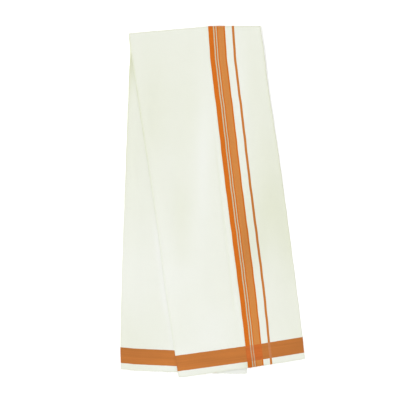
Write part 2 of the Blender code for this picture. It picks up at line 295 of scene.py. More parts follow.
# Yarns that have worked loose along the cut ends
THREAD_RADIUS = 0.00014
THREAD_TAPER = 0.4
THREAD_SIDES = 3
THREAD_RINGS = 4
THREAD_ROOT = 0.0005
THREAD_LENGTH = 0.0010
THREAD_SHORTEST = 0.0003
THREAD_LONGEST = 4.0 * THREAD_LENGTH
STRAY_SHORTEST = 0.003
STRAY_LENGTH = 0.0080
STRAY_SHARE = 0.03
THREAD_LEAN = 0.35
THREAD_CURL = 0.5
THREAD_DROOP_LOW = 10.0  # metres down for each square metre of reach
THREAD_DROOP_HIGH = 60.0
# The loose yarns are painted a little darker than the plain cloth: painted shade
THREAD_SHADING = 0.3
SHOWN_THREADS = 1300  # to a metre of cut end
HIDDEN_THREADS = 500

LIGHT_LEVEL = 1.12  # how brightly a white surface is lit, which linear() takes out of each colour
WHITE = (1.0, 1.0, 1.0, 1.0)
BLACK = (0.0, 0.0, 0.0, 1.0)


def mix(start, end, share):
    return start + (end - start) * share


def eased(share):
    share = np.clip(share, 0.0, 1.0)
    return share * share * (3.0 - 2.0 * share)


def edge_x(rows, y):
    """X of an edge at heights y, on a smooth curve through the edge's rows."""
    ys = np.array([row.y for row in rows])
    xs = np.array([row.x for row in rows])
    y = np.asarray(y, float)
    k = np.clip(np.searchsorted(-ys, -y, side="left") - 1, 0, len(rows) - 2)
    before = np.maximum(k - 1, 0)
    after = np.minimum(k + 2, len(rows) - 1)
    step = ys[k + 1] - ys[k]
    t = np.clip((y - ys[k]) / step, 0.0, 1.0)
    slope_low = (xs[k + 1] - xs[before]) / (ys[k + 1] - ys[before]) * step
    slope_high = (xs[after] - xs[k]) / (ys[after] - ys[k]) * step
    return (
        (2 * t**3 - 3 * t**2 + 1) * xs[k]
        + (t**3 - 2 * t**2 + t) * slope_low
        + (3 * t**2 - 2 * t**3) * xs[k + 1]
        + (t**3 - t**2) * slope_high
    )


def end_y(rows, x):
    return np.interp(x, [row.x for row in rows], [row.y for row in rows])


def sway(place, wavelength, phase):
    """A slow uneven wave between about -1 and 1."""
    turn = 2.0 * math.pi * place / wavelength + phase
    return 0.6 * np.sin(turn) + 0.4 * np.sin(1.73 * turn + 1.3 * phase + 0.7)


def flap_rise(x, y):
    """How far the cloth is lifted by the rear half's flap, which lies under its right side."""
    start = edge_x(REAR_SELVEDGE, y) - RISE_CLEAR - RISE_RUN
    return RISE_HEIGHT * eased((x - start) / RISE_RUN)


def front_base(x, y):
    """Height of what the front half lies on: the rear half, or the table to the right of it."""
    beside = x - edge_x(REAR_RIGHT, y) - FALL_CLEAR
    return (FRONT_BASE + flap_rise(x, y)) * (1.0 - eased(beside / FALL_RUN))


def relief(creases, x, y):
    """Height of the soft ridges and troughs at each point."""
    total = np.zeros_like(x)
    for k, crease in enumerate(creases):
        run_x = crease.end_x - crease.x
        run_y = crease.end_y - crease.y
        length = math.hypot(run_x, run_y)
        along = ((x - crease.x) * run_x + (y - crease.y) * run_y) / length
        beside = ((x - crease.x) * run_y - (y - crease.y) * run_x) / length
        beside = beside + CREASE_WANDER * crease.half_width * sway(along, 0.31, 1.9 * k)
        fade = eased(along / length / CREASE_FADE) * eased((1.0 - along / length) / CREASE_FADE)
        uneven = 1.0 + CREASE_UNEVEN * sway(along, 0.22, 2.3 * k)
        total = total + crease.height * uneven * fade * np.exp(-((beside / crease.half_width) ** 2))
    return total


def painted_shading(patches, painted_lines, points, from_fold):
    """Painted shading at each point: soft patches of painted light and shade, fine painted lines, and
    painted shade along the edges of the folds and cut ends.
    """
    x, y = points[..., 0], points[..., 1]
    total = PLAIN_TONE + relief(painted_lines, x, y)
    for patch in patches:
        away = ((x - patch.x) / patch.half_x) ** 2 + ((y - patch.y) / patch.half_y) ** 2
        total = total + patch.amount * np.exp(-away)
    uneven = 1.0 + EDGE_SHADE_UNEVEN * sway(x + y, 0.013, 0.5) * sway(x - 1.3 * y, 0.031, 1.5)
    edge_shade = uneven * mix(FOLD_EDGE_SHADE_LOW, FOLD_EDGE_SHADE, eased((y - EDGE_SHADE_LOW_Y) / EDGE_SHADE_RUN))
    return total - edge_shade * np.exp(-np.maximum(from_fold, 0.0) / FOLD_EDGE_SHADE_REACH)


def slow_waves(x, y):
    """The cloth's faint unevenness all over."""
    broad = sway(x + 0.35 * y, 0.23, 0.4) * sway(y - 0.2 * x, 0.37, 2.1)
    small = sway(x - 0.5 * y, 0.083, 1.1) * sway(y + 0.6 * x, 0.119, 0.3)
    return BROAD_WAVE * broad + SMALL_WAVE * small


def front_stray(y, k):
    """How far the front's edge number k strays from its curve."""
    return EDGE_STRAY * sway(y, 0.09, 1.7 * k)


def rear_stray(y, k):
    return EDGE_STRAY * sway(y, 0.11, 2.9 + 1.3 * k)


def front_places(down):
    """Plan points of the left fold, the selvedge and the right fold at each share down the front half."""
    places = []
    for k, guide in enumerate(FRONT_GUIDES):
        y = mix(guide.start_y, guide.end_y, down)
        places.append(np.stack([edge_x(guide.edge, y) + front_stray(y, k), y], -1))
    return places


def rear_places(down):
    """The same for the rear half, whose edges part from the front half's below the fold across."""
    places = []
    for k, (guide, edge) in enumerate(zip(FRONT_GUIDES, REAR_EDGES)):
        y = mix(guide.start_y, end_y(REAR_END, edge[-1].x), down)
        parted = eased((guide.start_y - y) / JOIN_RUN)
        own_x = edge_x(edge, y) + rear_stray(y, k)
        shared_x = edge_x(guide.edge, guide.start_y) + front_stray(guide.start_y, k)
        shift = shared_x - edge_x(edge, guide.start_y) - rear_stray(guide.start_y, k)
        places.append(np.stack([own_x + shift * (1.0 - parted), y], -1))
    return places


def across(places, distance):
    """Plan points at distances from the left fold, on straight lines to the selvedge and the right fold."""
    fold, selvedge, right = places
    first = np.linalg.norm(selvedge - fold, axis=-1)[:, None]
    second = np.linalg.norm(right - selvedge, axis=-1)[:, None]
    near = fold[:, None] + (selvedge - fold)[:, None] * (distance / first)[..., None]
    far = selvedge[:, None] + (right - selvedge)[:, None] * ((distance - first) / second)[..., None]
    return np.where((distance <= first)[..., None], near, far)


def section(places, columns):
    """Plan place, distances from the left and right folds, and height of each line, row by row."""
    fold, selvedge, right = places
    first = np.linalg.norm(selvedge - fold, axis=-1)
    width = first + np.linalg.norm(right - selvedge, axis=-1)
    outer = (FLAP_LAYER - UNDER_LAYER) / 2
    left = (PANEL_LAYER - UNDER_LAYER) / 2
    inner = (PANEL_LAYER - INSIDE_LAYER) / 2
    inner_centre = width - INNER_FOLD_INSET - inner
    # Where each flat layer starts and ends, and its height
    flats = {
        "flap": (first, width - outer, SELVEDGE_LAYER),
        "under": (width - outer, left, UNDER_LAYER),
        "panel": (left, inner_centre, PANEL_LAYER),
        "inside": (inner_centre, FAR_SELVEDGE_INSET, INSIDE_LAYER),
    }
    # Each fold's middle, its height, and its radius, which is below 0 at the left
    folds = {
        "outer_fold": (width - outer, FLAP_LAYER - outer, outer),
        "left_fold": (left, UNDER_LAYER + left, -left),
        "inner_fold": (inner_centre, PANEL_LAYER - inner, inner),
    }
    distances = []
    heights = []
    for layer, share in columns:
        angle = math.pi * share
        if layer in folds:
            middle, level, radius = folds[layer]
            distance = middle + radius * math.sin(angle)
            height = level + radius * math.cos(angle)
        else:
            start, end, height = flats[layer]
            distance = mix(start, end, share)
        if layer == "flap":
            height = mix(height, FLAP_LAYER, eased((distance - first) / FLAP_LIFT_RUN))
        elif layer == "inside":
            height = height + INSIDE_SLACK * math.sin(angle) * sway(distance, 0.13, 0.9)
        distances.append(np.broadcast_to(distance, width.shape))
        heights.append(np.broadcast_to(height, width.shape))
    from_left = np.stack(distances, -1)
    plan = across(places, from_left)
    return plan[..., 0], plan[..., 1], from_left, width[:, None] - from_left, np.stack(heights, -1)


def pressing(from_left, from_right, y, spring_run):
    """How much of its height each part of a section keeps, from the folds' pressed edges inwards."""
    sprung = eased((FRONT_GUIDES[0].start_y - y) / spring_run)
    left = (1.0 - LEFT_PRESSED) * (1.0 - eased(from_left / LEFT_PRESS_RUN))
    right = (1.0 - RIGHT_PRESSED) * (1.0 - eased(from_right / RIGHT_PRESS_RUN))
    return 1.0 - sprung * (left + right)


def from_edges(from_left, from_right, y, start_y):
    """Distance of each point from the nearest fold or cut end of its half."""
    from_sides = np.minimum(from_left, from_right)
    return np.minimum(np.minimum(from_sides, start_y - y + PANEL_HIGH), y - y.min(0))


def cut_line(x, height, phase):
    """How far the scissors strayed at the cut end, for each layer in its own way."""
    fine = CUT_STRAY * sway(x + 3.0 * height, 0.047, phase)
    return fine + CUT_DRIFT * sway(x + 60.0 * height, 0.29, phase + 1.0)


def near_cut(down):
    """From 0 over most of a half to 1 at its cut end, for each row."""
    return eased((down - 1.0 + CUT_RUN_SHARE) / CUT_RUN_SHARE)[:, None]


def front_points(down, columns):
    """Points of the front half, with how far the cut moved each and its distance from the nearest edge."""
    places = front_places(down)
    x, y, from_left, from_right, height = section(places, columns)
    below_fold = FRONT_GUIDES[1].start_y - y
    soft = (relief(FRONT_CREASES, x, y) + slow_waves(x, y)) * eased(below_fold / TOP_FADE)
    trim = near_cut(down) * cut_line(x, height, 0.6)
    curl = END_CURL * near_cut(down) * sway(x + 9.0 * height, 0.12, 1.2)
    kept = pressing(from_left, from_right, y, FRONT_SPRING_RUN)
    pressed = UNDER_LAYER + (height - UNDER_LAYER) * kept
    z = front_base(x, y) + pressed + (soft + curl) * height / PANEL_HIGH
    from_edge = from_edges(from_left, from_right, y, FRONT_GUIDES[1].start_y)
    return np.stack([x, y + trim, z], -1), trim, from_edge


def turned_points(angles, columns):
    """The same for the cloth carried round the fold across the strip."""
    places = front_places(np.zeros(1))
    x, y, from_left, from_right, height = section(places, columns)
    radius = height + AXIS_DROP
    turn = angles[:, None]
    reach = 1.0 + TURN_UNEVEN * sway(x, 0.14, 0.8)
    points = np.stack([
        np.broadcast_to(x, (len(angles), x.shape[1])),
        y + radius * reach * np.sin(turn),
        front_base(x, y) - AXIS_DROP + radius * np.cos(turn),
    ], -1)
    from_edge = np.minimum(np.minimum(from_left, from_right), radius * (1.0 - np.sin(turn)))
    return points, np.zeros(points.shape[:2]), from_edge


def rear_points(down, columns):
    """The same for the rear half, whose cut end isn't straight and whose creases lie where it shows."""
    places = rear_places(down)
    x, y, from_left, from_right, height = section(places, columns)
    end_share = (x - REAR_END[0].x) / (REAR_END[-1].x - REAR_END[0].x)
    straight = mix(places[0][-1, 1], places[2][-1, 1], end_share)
    y = y + (end_y(REAR_END, x) - straight) * (down**REAR_END_SHARP)[:, None]
    trim = near_cut(down) * cut_line(x, height, 2.6)
    shown = 1.0 - eased((x - edge_x(FRONT_FOLD, y) + REAR_COVER_LEAD) / REAR_COVER_RUN)
    below_fold = FRONT_GUIDES[0].start_y - y
    soft = (relief(REAR_CREASES, x, y) + slow_waves(x, y)) * shown * eased(below_fold / TOP_FADE)
    lowest = CLOTH_THICK / 2
    above = PANEL_HIGH - height + flap_rise(x, y)
    pressed = lowest + (above - lowest) * pressing(from_left, from_right, y, REAR_SPRING_RUN)
    z = np.maximum(pressed + soft * (PANEL_HIGH - height) / PANEL_HIGH, lowest)
    from_edge = from_edges(from_left, from_right, y, FRONT_GUIDES[0].start_y)
    return np.stack([x, y + trim, z], -1), trim, from_edge


def lines(layer, count, start=0.0, end=1.0):
    """Lines of one layer, evenly spread from one share of it up to another."""
    return [(layer, mix(start, end, k / count)) for k in range(count)]


def joined(*groups):
    """Lines of several layers in turn, closed with the last one's end."""
    columns = [column for group in groups for column in group]
    layer = columns[-1][0]
    return columns + [(layer, 1.0)]


def cloth_points(columns, half, row_count):
    """Points of one stretch in one half of the strip. The front half has the fold across too."""
    share = np.linspace(0.0, 1.0, row_count)
    down = share + ROW_SPREAD * np.sin(2.0 * math.pi * share)
    if half == "front":
        flat = front_points(1.0 - down, columns)
        turn = turned_points(np.linspace(0.0, math.pi, TURN_ROWS + 1)[1:], columns)
        return [np.concatenate(both) for both in zip(flat, turn)]
    return rear_points(down, columns)


def length_along(points, axis):
    """Running length of each line of a grid of points along one axis."""
    steps = np.linalg.norm(np.diff(points, axis=axis), axis=-1)
    start = np.zeros_like(np.take(steps, [0], axis=axis))
    return np.cumsum(np.concatenate([start, steps], axis=axis), axis=axis)


def unit(vectors):
    return vectors / np.linalg.norm(vectors, axis=-1, keepdims=True)


SHARP_ANGLE = math.radians(50)

# Room in a piece's own colour map: its outer side, its inner side, and the cut edges round them
MAP_GAP = 0.008
MAP_EDGE = 0.004
OUTER_SHARE = 0.62
THREAD_MAP_GAP = 0.06


def add_object(name, data):
    thing = bpy.data.objects.new(name, data)
    bpy.context.scene.collection.objects.link(thing)
    return thing


def new_piece(name, corners, faces, bake_maps, cloth_maps, shading_values):
    """A smooth mesh with its own colour map, its place in the whole cloth and its painted light and shade.
    """
    data = bpy.data.meshes.new(name)
    data.from_pydata(corners.reshape(-1, 3).tolist(), [], faces)
    for map_name, values in (("OFBake", bake_maps), ("cloth", cloth_maps)):
        layer = data.uv_layers.new(name=map_name)
        layer.data.foreach_set("uv", np.concatenate(values).astype(np.float32).ravel())
    shading_layer = data.attributes.new("painted_shading", "FLOAT", "POINT")
    shading_layer.data.foreach_set("value", shading_values.astype(np.float32))
    data.shade_smooth()
    return add_object(name, data)


def finish_piece(piece, material):
    piece.data.materials.append(material)
    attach(piece, "root")


def add_shell(name, points, cloth, shading_values):
    """A closed piece of cloth of real thickness round a grid of points, mapped to the whole cloth."""
    rows, cols = points.shape[:2]
    facing = unit(np.cross(np.gradient(points, axis=1), np.gradient(points, axis=0)))
    corners = np.concatenate([points + facing * CLOTH_THICK / 2, points - facing * CLOTH_THICK / 2])
    outer = np.arange(rows * cols).reshape(rows, cols)
    inner = outer + rows * cols
    across_share = length_along(points, 1).mean(0)
    down_share = length_along(points, 0).mean(1)
    across_share = across_share / across_share[-1]
    down_share = down_share / down_share[-1]
    low = MAP_EDGE + MAP_GAP
    map_v = mix(low, 1.0 - low, down_share)
    outer_u = mix(low, OUTER_SHARE - low, across_share)
    inner_u = mix(OUTER_SHARE + low, 1.0 - low, across_share)

    faces = []
    cloth_maps = []
    bake_maps = []

    def add_faces(ids, cloth_uv, bake_uv):
        faces.append(ids.reshape(-1, 4))
        cloth_maps.append(cloth_uv.reshape(-1, 4, 2))
        bake_maps.append(bake_uv.reshape(-1, 4, 2))

    def quads(grid):
        return np.stack([grid[:-1, :-1], grid[:-1, 1:], grid[1:, 1:], grid[1:, :-1]], 2)

    def spread(us, vs):
        return np.stack(np.meshgrid(us, vs), -1)

    add_faces(quads(outer), quads(cloth), quads(spread(outer_u, map_v)))
    backwards = [0, 3, 2, 1]
    inner_map = quads(spread(inner_u, map_v))
    add_faces(quads(inner)[:, :, backwards], quads(cloth)[:, :, backwards], inner_map[:, :, backwards])

    def strip(first, second):
        return np.stack([first[:-1], first[1:], second[1:], second[:-1]], 1)

    def along_u(v):
        return np.stack([outer_u, np.full(cols, v)], 1)

    def along_v(u):
        return np.stack([np.full(rows, u), map_v], 1)

    far_u = OUTER_SHARE - MAP_EDGE / 2
    rims = (
        (np.s_[0, ::-1], along_u(0.0)[::-1], along_u(MAP_EDGE)[::-1]),
        (np.s_[-1, :], along_u(1.0), along_u(1.0 - MAP_EDGE)),
        (np.s_[:, 0], along_v(0.0), along_v(MAP_EDGE)),
        (np.s_[::-1, -1], along_v(far_u)[::-1], along_v(far_u + MAP_EDGE)[::-1]),
    )
    for rim, bake_outer, bake_inner in rims:
        ids = strip(outer[rim], inner[rim])
        add_faces(ids, strip(cloth[rim], cloth[rim]), strip(bake_outer, bake_inner))

    faces = np.concatenate(faces).tolist()
    piece = new_piece(name, corners, faces, bake_maps, cloth_maps, np.tile(shading_values.ravel(), 2))
    piece.data.set_sharp_from_angle(angle=SHARP_ANGLE)
    return piece


def cloth_places(points, trim, half, from_selvedge):
    """Place of each point in the whole cloth: from the near selvedge, and from the front half's cut end."""
    u = from_selvedge[:, None] + length_along(points, 1)
    untrimmed = points.copy()
    untrimmed[..., 1] -= trim
    along = length_along(untrimmed, 0)
    if half == "front":
        v = along + trim
    else:
        v = CLOTH_LENGTH - along[-1] + along - trim
    from_end = np.minimum(v, CLOTH_LENGTH - v)
    u = u * (1.0 + BORDER_DRAWN_IN * eased(1.0 - from_end / DRAWN_IN_RUN))
    return np.stack([u, v], -1)


def loose_threads(points, cloth, per_metre, random):
    """Corners of the loose yarns along one layer's cut end, ring by ring, and their places in the cloth."""
    along = length_along(points, 0)
    count = int(along[-1] * per_metre)
    where = np.sort(random.uniform(0.0, along[-1], count))

    def at_roots(values):
        return np.stack([np.interp(where, along, column) for column in values.T], -1)

    root = at_roots(points)
    run = unit(at_roots(np.gradient(points, axis=0)))
    outward = unit(np.stack([-run[:, 1], run[:, 0], np.zeros(count)], -1))
    outward = outward * -np.sign(outward[:, 1:2])
    length = np.clip(random.exponential(THREAD_LENGTH, count), THREAD_SHORTEST, THREAD_LONGEST)
    stray = random.random(count) < STRAY_SHARE
    length = np.where(stray, random.uniform(STRAY_SHORTEST, STRAY_LENGTH, count), length)
    lean = random.normal(0.0, THREAD_LEAN, count)
    curl = random.normal(0.0, THREAD_CURL, count)
    droop = random.uniform(THREAD_DROOP_LOW, THREAD_DROOP_HIGH, count)
    corners = []
    for share in np.linspace(0.0, 1.0, THREAD_RINGS):
        reach = -THREAD_ROOT + (length + THREAD_ROOT) * share
        sideways = reach * lean + length * curl * share**2
        middle = root + outward * reach[:, None] + run * sideways[:, None]
        middle[:, 2] = np.maximum(middle[:, 2] - droop * reach**2, 2.0 * THREAD_RADIUS)
        radius = THREAD_RADIUS * (1.0 - THREAD_TAPER * share)
        for side in range(THREAD_SIDES):
            turn = 2.0 * math.pi * side / THREAD_SIDES
            corners.append(middle + run * (radius * math.cos(turn)) + [0.0, 0.0, radius * math.sin(turn)])
    return np.stack(corners, 1), at_roots(cloth)


def thread_faces():
    """Faces of one loose yarn, and each face's corners in its own square of the colour map."""
    wall_low = 0.12
    wall_row = 0.74 / (THREAD_RINGS - 1)
    cap_left, cap_right, cap_height = 0.05, 0.95, 0.07
    faces = []
    map_corners = []
    for ring in range(THREAD_RINGS - 1):
        for side in range(THREAD_SIDES):
            low = ring * THREAD_SIDES + side
            next_low = ring * THREAD_SIDES + (side + 1) % THREAD_SIDES
            faces.append((low, next_low, next_low + THREAD_SIDES, low + THREAD_SIDES))
            for step_u, step_v in ((0, 0), (1, 0), (1, 1), (0, 1)):
                map_corners.append(((side + step_u) / THREAD_SIDES, wall_low + (ring + step_v) * wall_row))
    last = (THREAD_RINGS - 1) * THREAD_SIDES
    faces.append((2, 1, 0))
    faces.append((last, last + 1, last + 2))
    for cap_low in (0.0, 1.0 - cap_height):
        map_corners += [(cap_left, cap_low), (cap_right, cap_low), (0.5, cap_low + cap_height)]
    return faces, np.array(map_corners)


def add_loose_threads(name, ends, material):
    """Fine yarns that have worked loose along the cut ends, each a thin strand with a little curl."""
    random = np.random.default_rng(11)
    strands, places = zip(*[loose_threads(*end, random) for end in ends])
    strands = np.concatenate(strands)
    places = np.concatenate(places)
    own_faces, map_corners = thread_faces()
    cells = math.ceil(math.sqrt(len(strands)))
    faces = []
    cloth_maps = []
    bake_maps = []
    for k, place in enumerate(places):
        first = k * THREAD_SIDES * THREAD_RINGS
        faces.extend([first + corner for corner in face] for face in own_faces)
        cloth_maps.append(np.tile(place, (len(map_corners), 1)))
        cell = np.array([k % cells, k // cells])
        bake_maps.append((cell + THREAD_MAP_GAP + (1.0 - 2.0 * THREAD_MAP_GAP) * map_corners) / cells)
    # Painted shade on the loose yarns
    shading_values = np.full(len(strands) * THREAD_SIDES * THREAD_RINGS, THREAD_SHADING)
    threads = new_piece(name, strands, faces, bake_maps, cloth_maps, shading_values)
    finish_piece(threads, material)
    return threads


def linear(colour):
    """A colour seen as 0 to 255 on a screen, as the shader's own values in this light."""
    shares = np.array(colour) / 255.0
    values = np.where(shares <= 0.04045, shares / 12.92, ((shares + 0.055) / 1.055) ** 2.4)
    return (*np.maximum(values / LIGHT_LEVEL - GLOSS_VEIL, 0.0), 1.0)


class Nodes:
    """Adds and joins the nodes of one tree."""

    def __init__(self, tree):
        self.tree = tree

    def add(self, kind, values=None, **settings):
        node = self.tree.nodes.new(kind)
        for key, value in settings.items():
            setattr(node, key, value)
        for key, value in (values or {}).items():
            self.set(node.inputs[key], value)
        return node

    def set(self, socket, value):
        if isinstance(value, bpy.types.NodeSocket):
            self.tree.links.new(value, socket)
        else:
            socket.default_value = value

    def math(self, operation, first, second=None, third=None, clamp=False):
        node = self.add("ShaderNodeMath", operation=operation, use_clamp=clamp)
        for k, value in enumerate((first, second, third)):
            if value is not None:
                self.set(node.inputs[k], value)
        return node.outputs[0]

    def mix(self, share, first, second, beyond=False):
        """A colour between two, or past them where the share is below 0 or above 1 and beyond is true."""
        node = self.add("ShaderNodeMix", data_type="RGBA", clamp_factor=not beyond)
        self.set(node.inputs[0], share)
        self.set(node.inputs[6], first)
        self.set(node.inputs[7], second)
        return node.outputs[2]

    def axes(self, place):
        return self.add("ShaderNodeSeparateXYZ", {"Vector": place}).outputs

    def from_nearer(self, distance, length):
        """Distance from the nearer end of a length, out of the distance from its start."""
        return self.math("MINIMUM", distance, self.math("SUBTRACT", length, distance))

    def noise(self, place, scale, detail):
        return self.add("ShaderNodeTexNoise", {"Vector": place, "Scale": scale, "Detail": detail},
                        noise_dimensions="2D").outputs["Fac"]

    def grain(self, place, per_metre, detail):
        """Noise that changes so many times a metre across the cloth and along it."""
        scaled = self.add("ShaderNodeVectorMath", operation="MULTIPLY")
        self.set(scaled.inputs[0], place)
        scaled.inputs[1].default_value = (*per_metre, 1.0)
        return self.noise(scaled.outputs[0], 1.0, detail)

    def ramp(self, share, stops):
        node = self.add("ShaderNodeValToRGB", {"Fac": share})
        elements = node.color_ramp.elements
        while len(elements) < len(stops):
            elements.new(1.0)
        for element, (place, colour) in zip(elements, stops):
            element.position = place
            element.color = colour
        return node.outputs["Color"]


def new_group(name, inputs, outputs):
    """A node group, its nodes, the place in the cloth, all that it is given, and its results."""
    group = bpy.data.node_groups.new(name, "ShaderNodeTree")
    kinds = {"value": "NodeSocketFloat", "colour": "NodeSocketColor", "place": "NodeSocketVector"}
    for socket_name, kind, default in [("Cloth place", "place", None)] + inputs:
        socket = group.interface.new_socket(socket_name, in_out="INPUT", socket_type=kinds[kind])
        if default is not None:
            socket.default_value = default
    for socket_name, kind in outputs:
        group.interface.new_socket(socket_name, in_out="OUTPUT", socket_type=kinds[kind])
    nodes = Nodes(group)
    given = nodes.add("NodeGroupInput")
    result = nodes.add("NodeGroupOutput")
    return group, nodes, given.outputs["Cloth place"], given.outputs, result.inputs


def build_woven_threads():
    """Plain weave with uneven yarns. Puts out the surface's height and a shade near 1."""
    group, nodes, place, given, result = new_group(
        "woven_threads",
        [("Thread pitch", "value", 0.0011), ("Unevenness", "value", 0.03), ("Thread shade", "value", 0.05)],
        [("Height", "value"), ("Shade", "value")],
    )
    warp = nodes.grain(place, WARP_GRAIN, detail=3.0)
    weft = nodes.grain(place, WEFT_GRAIN, detail=3.0)
    flat = nodes.axes(place)
    turns = nodes.math("DIVIDE", 2.0 * math.pi, given["Thread pitch"])
    over = nodes.math("SINE", nodes.math("MULTIPLY", flat["X"], turns))
    under = nodes.math("SINE", nodes.math("MULTIPLY", flat["Y"], turns))
    checks = nodes.math("MULTIPLY", over, under)
    both = nodes.math("SUBTRACT", nodes.math("ADD", warp, weft), 1.0)
    height = nodes.math("MULTIPLY_ADD", checks, CHECK_HEIGHT, nodes.math("MULTIPLY", both, YARN_HEIGHT))
    shade = nodes.math("MULTIPLY_ADD", both, given["Unevenness"], 1.0)
    nodes.set(result["Height"], height)
    # The checks also darken the weave's hollows a little: painted shade
    nodes.set(result["Shade"], nodes.math("MULTIPLY_ADD", checks, given["Thread shade"], shade))
    return group


def build_cloudy_cotton():
    """The ground's colour, between painted shade and painted light by the painted shading it is given, with
    a soft change of tint from place to place.
    """
    group, nodes, place, given, result = new_group(
        "cloudy_cotton",
        [("Tone", "value", PLAIN_TONE), ("Patch size", "value", 0.09), ("Unevenness", "value", 0.14)],
        [("Colour", "colour")],
    )
    per_metre = nodes.math("DIVIDE", 1.0, given["Patch size"])
    patches = nodes.noise(place, scale=per_metre, detail=2.0)
    centred = nodes.math("SUBTRACT", patches, 0.5)
    uneven = nodes.math("MULTIPLY_ADD", centred, given["Unevenness"], given["Tone"])
    nodes.set(result["Colour"], nodes.mix(uneven, linear(SHADED_COTTON), linear(LIT_COTTON), beyond=True))
    return group


def build_cross_band():
    """The orange band woven across near each cut end. Puts out its mask, its colour and a shade near 1."""
    group, nodes, place, given, result = new_group(
        "cross_band",
        [("Band colour", "colour", linear(BAND_ORANGE)), ("Edge colour", "colour", linear(BAND_EDGE)),
         ("Streaks", "value", 0.20)],
        [("Band", "value"), ("Colour", "colour"), ("Shade", "value")],
    )
    flat = nodes.axes(place)
    ragged = nodes.grain(place, RAGGED_GRAIN, detail=2.0)
    along = nodes.math("MULTIPLY_ADD", nodes.math("SUBTRACT", ragged, 0.5), BAND_RAGGED, flat["Y"])
    into_band = nodes.math("SUBTRACT", nodes.from_nearer(along, CLOTH_LENGTH), HEM_WIDTH)
    from_band_edge = nodes.from_nearer(into_band, BAND_WIDTH)
    band = nodes.math("DIVIDE", from_band_edge, STRAND_BLUR, clamp=True)
    inside = nodes.math("DIVIDE", from_band_edge, BAND_EDGE_WIDTH, clamp=True)
    streaks = nodes.grain(place, BAND_GRAIN, detail=3.0)
    broad = nodes.grain(place, BROAD_BAND_GRAIN, detail=1.0)
    uneven = nodes.math("SUBTRACT", nodes.math("ADD", streaks, broad), 1.0)
    nodes.set(result["Band"], band)
    nodes.set(result["Colour"], nodes.mix(inside, given["Edge colour"], given["Band colour"]))
    nodes.set(result["Shade"], nodes.math("MULTIPLY_ADD", uneven, given["Streaks"], 1.0))
    return group


def strand_stops(colour_of):
    """Stops of a ramp across the border, from the selvedge inwards, with each strand's colour."""
    stops = []
    start = 0.0
    for strand in BORDER_STRANDS:
        end = start + strand.width
        for place in (start + STRAND_BLUR / 2, end - STRAND_BLUR / 2):
            stops.append((place / BORDER_REACH, colour_of(strand)))
        start = end
    return stops


def build_border_stripes():
    """The lengthwise border along each selvedge. Puts out its colour, its mask, and a shade near 1."""
    group, nodes, place, given, result = new_group(
        "border_stripes",
        [("Band", "value", 0.0), ("Streaks", "value", 0.12)],
        [("Colour", "colour"), ("Border", "value"), ("Shade", "value")],
    )
    flat = nodes.axes(place)
    share = nodes.math("DIVIDE", nodes.from_nearer(flat["X"], CLOTH_WIDTH), BORDER_REACH, clamp=True)
    outside = nodes.ramp(share, strand_stops(lambda strand: linear(strand.outside)))
    in_band = nodes.ramp(share, strand_stops(lambda strand: linear(strand.in_band)))
    nodes.set(result["Colour"], nodes.mix(given["Band"], outside, in_band))
    dyed = strand_stops(lambda strand: BLACK if strand.outside == GROUND_COTTON else WHITE)
    mask = nodes.ramp(share, dyed)
    nodes.set(result["Border"], mask)
    streaks = nodes.grain(place, BORDER_GRAIN, detail=3.0)
    centred = nodes.math("SUBTRACT", streaks, 0.5)
    amount = nodes.math("MULTIPLY", mask, given["Streaks"])
    nodes.set(result["Shade"], nodes.math("MULTIPLY_ADD", centred, amount, 1.0))
    return group


WOVEN_THREADS = build_woven_threads()
CLOUDY_COTTON = build_cloudy_cotton()
CROSS_BAND = build_cross_band()
BORDER_STRIPES = build_border_stripes()


def dhoti_cotton(name, with_border):
    """The cloth's finish, with the painted light and shade that each piece carries at its points. The
    border is left out where a stretch has none.
    """
    material = bpy.data.materials.new(name)
    material.use_nodes = True
    tree = material.node_tree
    nodes = Nodes(tree)
    shader = tree.nodes["Principled BSDF"]
    place = nodes.add("ShaderNodeUVMap", uv_map="cloth").outputs["UV"]

    def group(tree_of_group, **values):
        node = nodes.add("ShaderNodeGroup", node_tree=tree_of_group)
        nodes.set(node.inputs["Cloth place"], place)
        for key, value in values.items():
            nodes.set(node.inputs[key], value)
        return node.outputs

    # Painted light and shade, carried by each piece at its points
    painted_shading_fac = nodes.add("ShaderNodeAttribute", attribute_name="painted_shading").outputs["Fac"]
    threads = group(WOVEN_THREADS, Unevenness=YARN_UNEVEN)
    ground = group(CLOUDY_COTTON, Tone=painted_shading_fac)["Colour"]
    band = group(CROSS_BAND)
    colour = nodes.mix(band["Band"], ground, band["Colour"])
    band_shade = nodes.mix(band["Band"], WHITE, band["Shade"])
    shade = nodes.math("MULTIPLY", threads["Shade"], band_shade)
    dyed = band["Band"]
    if with_border:
        border = group(BORDER_STRIPES, Band=band["Band"])
        colour = nodes.mix(border["Border"], colour, border["Colour"])
        shade = nodes.math("MULTIPLY", shade, border["Shade"])
        dyed = nodes.math("MAXIMUM", dyed, border["Border"])
    # The painted light and shade reach the dyed yarns too, more weakly
    dyed_shading = nodes.math("MULTIPLY_ADD", nodes.math("SUBTRACT", painted_shading_fac, PLAIN_TONE), DYED_SHADING, 1.0)
    shade = nodes.math("MULTIPLY", shade, nodes.mix(dyed, WHITE, dyed_shading))
    tinted = nodes.add("ShaderNodeVectorMath", operation="SCALE")
    nodes.set(tinted.inputs[0], colour)
    nodes.set(tinted.inputs["Scale"], shade)
    nodes.set(shader.inputs["Base Color"], tinted.outputs[0])
    nodes.set(shader.inputs["Roughness"], nodes.math("MULTIPLY_ADD", dyed, -DYED_SMOOTHER, COTTON_ROUGH))
    bump = nodes.add("ShaderNodeBump", {"Strength": 0.4, "Distance": 0.0002, "Height": threads["Height"]})
    nodes.set(shader.inputs["Normal"], bump.outputs["Normal"])
    shader.inputs["Specular IOR Level"].default_value = 0.25
    shader.inputs["Sheen Weight"].default_value = 0.09
    shader.inputs["Sheen Roughness"].default_value = 0.5
    return material


border_cotton = dhoti_cotton("border_cotton", True)
white_cotton = dhoti_cotton("white_cotton", False)


